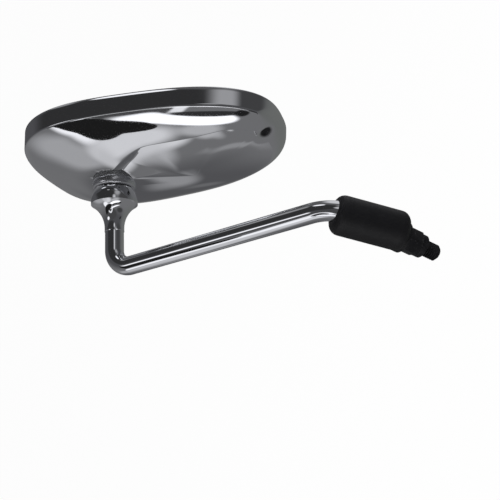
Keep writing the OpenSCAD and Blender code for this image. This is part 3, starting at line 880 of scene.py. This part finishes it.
    def dent(self, row: np.ndarray) -> np.ndarray:
        """Presses the dimple at the blade's end into a row of points."""
        u, v = self.dimple_at
        near = np.exp(-((row[:, 0] - u) ** 2 + (row[:, 1] - v) ** 2) / self.dimple_r ** 2)
        return row - np.stack([0 * near, 0 * near, self.dimple_depth * near], -1)

    def wall(self, a: np.ndarray, w: "np.ndarray | float", t: float = 0.0) -> np.ndarray:
        """Point of the side wall at height w."""
        x, y = self.rim(a)
        k = 1 - self.draft / self.half_high * w / self.wall_h
        fx, fy = self.flat(x * k, y * k, t)
        return np.stack([fx, fy, w + 0 * fx], -1)

    def corner(self, a: np.ndarray, s: float, t: float = 0.0, low_w: float = 0.0) -> np.ndarray:
        """Point of the rounded edge between wall and dome."""
        low = self.wall(a, np.maximum(low_w, self.wall_h - self.edge_r(a) * self.edge_share - t), t)
        high, mid = self.skin(a, self.edge_q(a), t), self.wall(a, self.wall_h - t, t)
        return (1 - s) ** 2 * low + 2 * s * (1 - s) * mid + s * s * high


@dataclass
class Head:
    """Chromed shell, convex glass, its seal and its backing."""

    skin: Skin = field(default_factory=Skin)
    shell_t: float = 2.5
    ledge_w: float = 9.13
    ledge_in: float = 1.3
    glass_curve: float = 1200.0
    glass_t: float = 2.0
    foam_t: float = 1.0
    backing_t: float = 2.2
    glass_sunk: float = 1.0
    glass_inset: float = 5.2
    lip_w: float = 1.3
    lip_t: float = 0.8
    fit: float = 0.1
    neck_hole: float = 13.45
    front_round: float = 0.6
    plate_round: float = 0.2
    rays: int = 540
    hollow_rows: int = 44
    slope_rows: int = 16
    blade_rows: int = 26
    edge_rows: int = 10

    def angles(self) -> np.ndarray:
        """Angles of the rays."""
        return np.linspace(0, math.tau, self.rays, endpoint=False)

    def shell(self) -> None:
        """Builds the shell: pole, hollow, crest, blade, edge, wall, rim and inside."""
        s, a = self.skin, self.angles()
        c, g, e = s.crest_q(a), s.foot_q(a), s.edge_q(a)
        rows = [s.skin(a, g * 0.0)]
        rows += [s.skin(a, g * (k / self.hollow_rows)) for k in range(1, self.hollow_rows)]
        n = self.slope_rows
        rows += [s.skin(a, mix(g, c, 1 - (1 - k / n) ** 1.4)) for k in range(n + 1)]
        n = self.blade_rows
        rows += [s.skin(a, mix(c, e, (k / n) ** 1.15)) for k in range(1, n + 1)]
        rows += [s.corner(a, 1 - k / self.edge_rows) for k in range(1, self.edge_rows + 1)]
        low = s.wall_h - s.edge_r(a) * s.edge_share
        lip, half = self.front_round, self.shell_t / 2
        rows += [s.wall(a, mix(low, lip, k / 5)) for k in range(1, 6)]
        for k in range(1, 7):
            b = math.radians(30 * k)
            rows.append(s.wall(a, lip - lip * math.sin(b), half - half * math.cos(b)))
        rows += [self._flat_wall(a, w, self.shell_t) for w in (3.0, self.ledge_w)]
        rows += [self._flat_wall(a, self.ledge_w, self.shell_t + self.ledge_in)]
        inner = self.ledge_w + 0.6
        rows += [s.corner(a, f, self.shell_t + self.ledge_in * (1 - f), inner) for f in (0.0, 0.5, 1.0)]
        rows += [s.skin(a, mix(e, c, k / 4), self.shell_t) for k in range(1, 5)]
        rows += [s.skin(a, g * (1 - k / 6), self.shell_t) for k in range(0, 7)]
        rows = [s.dent(row) for row in rows]
        u, v = s.dimple_at
        depth = s.dome(u / s.half_len, v / s.half_high / s.narrow(u / s.half_len)) - s.dimple_depth
        # The shell's chrome has shade painted into the dimple, centred on its lowest point.
        chrome = replace(SHELL_CHROME, pit=tuple(PLACES.head() @ Vector((u, v, depth)) * MM))
        bm = gridded(self.rays, rows)
        self._bore(bm)
        publish(bm, "chromed_shell", PLACES.head(), chrome, Part.HEAD, "housing_shell", slot="shell_chrome",
                sharp=50)

    def _bore(self, bm: bmesh.types.BMesh) -> None:
        """Opens the round hole for the socket's neck through both skins."""
        bmesh.ops.remove_doubles(bm, verts=bm.verts, dist=WELD)
        way = PLACES.head().inverted() @ PLACES.knuckle()
        back = way.inverted()
        inside = [f for f in bm.faces if (back @ f.calc_center_median()).xy.length < self.neck_hole]
        bmesh.ops.delete(bm, geom=inside, context="FACES")
        rim = [e for e in bm.edges if e.is_boundary]
        for v in {v for e in rim for v in e.verts}:
            local = back @ v.co
            local.xy = local.xy.normalized() * self.neck_hole
            v.co = way @ local
        bmesh.ops.bridge_loops(bm, edges=rim)

    def _flat_wall(self, a: np.ndarray, w: float, t: float) -> np.ndarray:
        """Point of the straight pocket wall at height w."""
        made = self.skin.wall(a, 0.0, t)
        made[:, 2] = w
        return made

    def plate_ring(self, a: np.ndarray, r: float, inset: float, w: float) -> np.ndarray:
        """Ring of a plate that follows the convex glass."""
        x, y = self.skin.rim(a)
        fx, fy = self.skin.flat(x, y, inset)
        fx, fy = fx * r, fy * r
        return np.stack([fx, fy, w + (fx ** 2 + fy ** 2) / (2 * self.glass_curve)], -1)

    def plate(self, name: str, node: str, inset: float, low: float, high: float, finish: Finish,
              slot: str) -> None:
        """Builds one plate with a slightly rounded edge.

        Args:
            name: piece name.
            node: node it stands for.
            inset: inset of its edge from the rim.
            low: height of its front face at the middle.
            high: height of its back face.
            finish: its finish.
            slot: material slot.
        """
        a, curb = self.angles(), self.plate_round
        shares = [0.0, 0.05] + [k / 16 for k in range(2, 16)]
        rows = [self.plate_ring(a, r, inset + curb, high) for r in shares + [1.0]]
        rows += [self.plate_ring(a, 1.0, inset, high - curb), self.plate_ring(a, 1.0, inset, low + curb)]
        rows += [self.plate_ring(a, r, inset + curb, low) for r in [1.0] + shares[::-1]]
        publish(gridded(self.rays, rows), name, PLACES.head(), finish, Part.HEAD, node, slot=slot)

    def front(self) -> None:
        """Builds glass, foam, backing and seal."""
        back = self.glass_sunk + self.glass_t
        foam = back + self.foam_t
        self.plate("convex_glass", "mirror_glass", self.glass_inset, self.glass_sunk, back, MIRROR,
                   "mirror_glass")
        self.plate("foam_layer", "foam_pad", self.glass_inset + 1, back, foam, FOAM, "foam")
        self.plate("backing_plate", "glass_backing", self.shell_t + self.fit, foam, foam + self.backing_t,
                   BACK_PLASTIC, "black_plastic")
        a = self.angles()
        outer, inner = self.shell_t + self.fit, self.glass_inset - self.fit
        lip = self.glass_inset + self.lip_w
        front, seat = self.glass_sunk - self.lip_t, self.glass_sunk - 0.05
        section = [(outer, foam), (outer, front + 0.35), (outer + 0.15, front + 0.08), (outer + 0.45, front),
                   (lip - 0.3, front), (lip - 0.08, front + 0.12), (lip, front + 0.35), (lip, seat),
                   (inner, seat), (inner, foam), (outer, foam)]
        rows = [self.plate_ring(a, 1.0, t, w) for t, w in section]
        publish(gridded(self.rays, rows), "glass_seal", PLACES.head(), GASKET_RUBBER, Part.HEAD,
                "glass_gasket", slot="gasket_rubber")


# Carried-over pieces


@dataclass
class Fittings:
    """Finishes of the pieces that stay as the frame has them."""

    finishes: dict = field(default_factory=lambda: {
        "rubber_boot": BOOT_RUBBER, "lock_nut": BLACK_STEEL, "lock_washer": ZINC_STEEL,
        "pivot_stud": ZINC_STEEL, "pivot_nut": ZINC_STEEL, "spring_plate": ZINC_STEEL,
        "friction_spring": ZINC_STEEL, "pressure_cup": ZINC_STEEL, "nylon_liner": NYLON,
        "joint_socket": CAST_ALLOY, "socket_screws": ZINC_STEEL})

    def dress(self, nodes: dict) -> None:
        """Gives each carried-over node its finish, and hides the socket from mirror reflections.

        Args:
            nodes: the frame's nodes by name.
        """
        for name, finish in self.finishes.items():
            materials = nodes[name].data.materials
            materials.clear()
            materials.append(finish.material())
            LOG.info("%s: %s", name, finish.name)
        nodes["joint_socket"].visible_glossy = False


# Studio


@dataclass(frozen=True)
class Patch:
    """One soft oval patch of the studio that the chrome reflects.

    Its place is on a disc: the middle is the direction towards the photograph's viewpoint, and the rim is
    the direction away from it.

    Attributes:
        x: middle across the disc.
        y: middle up the disc.
        rx: half width.
        ry: half height.
        tilt: turn in degrees.
        light: brightness.
        soft: share of its radius that fades.
        share: how much of it covers what lies below.
    """

    x: float
    y: float
    rx: float
    ry: float
    tilt: float
    light: float
    soft: float = 0.3
    share: float = 1.0


PATCHES = (
    Patch(0.0, 0.72, 0.75, 0.40, 0, 0.10, 0.5), Patch(0.17, 0.81, 0.34, 0.20, 0, 0.62, 0.5),
    Patch(-0.30, 0.34, 0.52, 0.30, 0, 0.030, 0.35),
    Patch(0.45, 0.42, 0.28, 0.30, 0, 0.055, 0.5), Patch(0.17, 0.44, 0.17, 0.18, 0, 0.34, 0.75),
    Patch(0.05, 0.27, 0.10, 0.11, 10, 0.62, 0.8), Patch(-0.50, 0.60, 0.13, 0.12, 0, 0.30, 0.6),
    Patch(-0.10, -0.10, 0.42, 0.22, 0, 0.06, 0.4), Patch(-0.46, -0.01, 0.12, 0.07, 0, 1.1, 0.5),
    Patch(-0.185, -0.30, 0.155, 0.17, 0, 0.85, 0.12), Patch(-0.185, -0.31, 0.10, 0.125, 0, 0.065, 0.12),
    Patch(-0.62, -0.52, 0.18, 0.10, 30, 0.19, 0.6), Patch(-0.36, -0.63, 0.28, 0.14, -10, 0.38, 0.6),
    Patch(-0.18, -0.57, 0.16, 0.13, 0, 0.68, 0.6), Patch(0.04, -0.57, 0.16, 0.07, -18, 0.45, 0.6),
    Patch(-0.24, 0.57, 0.12, 0.06, 0, 1.1, 0.3), Patch(0.38, -0.26, 0.24, 0.12, 0, 0.05, 0.6),
    Patch(0.26, -0.73, 0.30, 0.045, 5, 0.31, 0.8, 0.8), Patch(-0.19, -0.67, 0.26, 0.08, -60, 0.56, 0.8),
    Patch(-0.02, -0.90, 0.12, 0.05, 0, 0.34, 0.8, 0.8), Patch(0.10, -0.95, 0.16, 0.02, 0, 0.16, 0.8, 0.8),
    Patch(-0.31, -0.44, 0.12, 0.10, -30, 1.0, 0.4), Patch(0.015, -0.468, 0.25, 0.056, -19, 1.25, 0.2),
    Patch(-0.155, -0.41, 0.05, 0.05, 0, 1.2, 0.3), Patch(0.06, -0.345, 0.28, 0.026, -17, 1.25, 0.4),
    Patch(0.065, -0.438, 0.205, 0.024, -17, 0.03, 0.2), Patch(0.24, -0.49, 0.06, 0.03, -25, 0.014, 0.3),
)


@dataclass(frozen=True)
class Card:
    """A dark oval panel near the head that only reflections see.

    Attributes:
        name: its name.
        at: its middle in metres.
        facing: direction in which it is seen from the shell.
        half_width: half width in metres.
        half_height: half height in metres.
        light: brightness.
    """

    name: str
    at: tuple
    facing: tuple
    half_width: float
    half_height: float
    light: float


LAMPS = (
    ("above", (0.1, 0.75, 0.55), 0.9, 9.0),
    ("left", (-0.8, 0.25, 0.5), 0.6, 4.0),
    ("low", (0.5, -0.4, 0.7), 0.8, 3.0),
)
CARDS = (Card("dark_panel", (0.1485, 0.1287, 0.2555), (0.287, 0.929, 0.232), 0.108, 0.036, 0.012),)


@dataclass
class Studio:
    """Camera, lamps and what the chrome reflects."""

    patches: tuple = PATCHES
    cards: tuple = CARDS
    floor_z: float = -0.32
    floor_half: float = 40.0
    floor_white: float = 0.96
    sensor: float = 36.0
    lens: float = 69.12
    fill_light: float = 0.55
    aim: tuple = (0.09, -0.06, 0.11)

    @staticmethod
    def basis() -> Matrix:
        """Columns are the photograph's right, up and back directions."""
        return Matrix((VIEW_RIGHT, VIEW_UP, VIEW_BACK)).transposed()

    def camera(self) -> None:
        """Places the camera where the photograph was taken."""
        data = bpy.data.cameras.new("camera")
        data.sensor_width = self.sensor
        data.lens = self.lens
        data.clip_start = 0.01
        data.clip_end = 50.0
        camera = bpy.data.objects.new("camera", data)
        camera.matrix_world = Matrix.Translation(VIEW_FROM) @ self.basis().to_4x4()
        bpy.context.scene.collection.objects.link(camera)
        bpy.context.scene.camera = camera

    def world(self) -> None:
        """Plain light for the object, white for the camera, a studio for reflections."""
        world = bpy.data.worlds.new("studio")
        bpy.context.scene.world = world
        n = Nodes(world)
        way = n.add("ShaderNodeTexCoord", output="Generated")
        x, y, z = (n.dot(way, axis) for axis in (VIEW_RIGHT, VIEW_UP, VIEW_BACK))
        reach = (2.0 * (z + 1.0)).top(0.0001).root()
        across, height = x / reach, y / reach
        place = n.add("ShaderNodeCombineXYZ", {}, {"X": across, "Y": height})
        tone = n.mix(height.fade(-0.72, -0.9), (0.165, 0.165, 0.17), (0.09, 0.09, 0.095))
        tone = n.mix(height.fade(-0.45, 0.0), tone, (0.075, 0.075, 0.08))
        tone = n.mix(across.fade(0.5, 0.85), tone, (0.15, 0.155, 0.15))
        for patch in self.patches:
            local = n.add("ShaderNodeMapping", {"vector_type": "TEXTURE"}, {
                "Vector": place, "Location": (patch.x, patch.y, 0), "Scale": (patch.rx, patch.ry, 1),
                "Rotation": (0, 0, math.radians(patch.tilt))})
            inside = n.add("ShaderNodeTexGradient", {"gradient_type": "SPHERICAL"}, {"Vector": local}, "Fac")
            cover = inside.fade(0, patch.soft, 0, patch.share)
            tone = n.mix(cover, tone, (patch.light, patch.light, patch.light * 1.03))
        tone = n.mix(z.fade(-0.999, -0.96, 1.0, 0.0), tone, (0.2, 0.2, 0.2))
        shine = n.add("ShaderNodeBackground", {}, {"Color": tone, "Strength": 1.0})
        plain = n.add("ShaderNodeBackground", {}, {"Color": (1, 1, 1, 1), "Strength": self.fill_light})
        white = n.add("ShaderNodeBackground", {}, {"Color": (1, 1, 1, 1), "Strength": 1.0})
        glossy = n.add("ShaderNodeLightPath", output="Is Glossy Ray")
        first = n.add("ShaderNodeMixShader", {}, {0: glossy, 1: plain, 2: shine})
        n.finish(n.add("ShaderNodeMixShader", {}, {0: n.seen(), 1: first, 2: white}))

    def lamps(self) -> None:
        """Soft lamps: one above, one from the left and one low on the right."""
        for name, at, size, power in LAMPS:
            data = bpy.data.lights.new(name, "AREA")
            data.size = size
            data.energy = power
            lamp = bpy.data.objects.new(name, data)
            offset = self.basis() @ Vector(at)
            lamp.location = Vector(self.aim) + offset
            lamp.rotation_mode = "QUATERNION"
            lamp.rotation_quaternion = (-offset).to_track_quat("-Z", "Y")
            lamp.visible_glossy = False
            bpy.context.scene.collection.objects.link(lamp)

    def hang(self, card: Card) -> None:
        """Hangs one card where the chrome reflects it.

        Args:
            card: the card.
        """
        out = Vector(card.facing).normalized()
        side = self.basis() @ Vector((1, 0, 0))
        side = (side - out * side.dot(out)).normalized()
        place = Matrix((side, out.cross(side), out)).transposed().to_4x4()
        bm = bmesh.new()
        bmesh.ops.create_circle(bm, cap_ends=True, segments=48, radius=1.0)
        bmesh.ops.scale(bm, vec=(card.half_width, card.half_height, 1), verts=bm.verts)
        bmesh.ops.transform(bm, matrix=Matrix.Translation(card.at) @ place, verts=bm.verts)
        panel = put(bm, card.name)
        material = bpy.data.materials.new(card.name)
        n = Nodes(material)
        n.finish(n.add("ShaderNodeEmission", {}, {"Color": (*(card.light,) * 3, 1), "Strength": 1.0}))
        panel.data.materials.append(material)
        panel.visible_camera = False
        panel.visible_diffuse = False
        panel.visible_shadow = False
        panel.visible_transmission = False

    def floor(self) -> None:
        """Lays the floor, white to the camera with a little shadow, and left out of mirror reflections."""
        bm = bmesh.new()
        bmesh.ops.create_grid(bm, x_segments=1, y_segments=1, size=self.floor_half)
        bmesh.ops.translate(bm, vec=(0, 0, self.floor_z), verts=bm.verts)
        ground = put(bm, "floor")
        material = bpy.data.materials.new("pale_floor")
        n = Nodes(material)
        matte = n.add("ShaderNodeBsdfDiffuse", {}, {"Color": (0.8, 0.8, 0.8, 1)})
        white = n.add("ShaderNodeEmission", {}, {"Color": (1, 1, 1, 1), "Strength": 1.0})
        n.finish(n.add("ShaderNodeMixShader", {}, {0: n.seen() * self.floor_white, 1: matte, 2: white}))
        ground.data.materials.append(material)
        ground.visible_glossy = False

    def build(self) -> None:
        """Builds the whole studio."""
        self.camera()
        self.floor()
        self.world()
        for card in self.cards:
            self.hang(card)
        self.lamps()
        bpy.context.scene.view_settings.view_transform = "Standard"


def main() -> None:
    """Loads the frame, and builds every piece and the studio."""
    logging.basicConfig(level=logging.INFO, format="%(name)s %(message)s")
    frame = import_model()
    Studio().build()
    Fittings().dress(frame["nodes"])
    stem = Stem()
    stem.rod()
    stem.adaptor()
    knuckle = Knuckle()
    knuckle.bell()
    knuckle.ring()
    head = Head()
    head.shell()
    head.front()
    LOG.info("built")


if __name__ == "__main__":
    main()
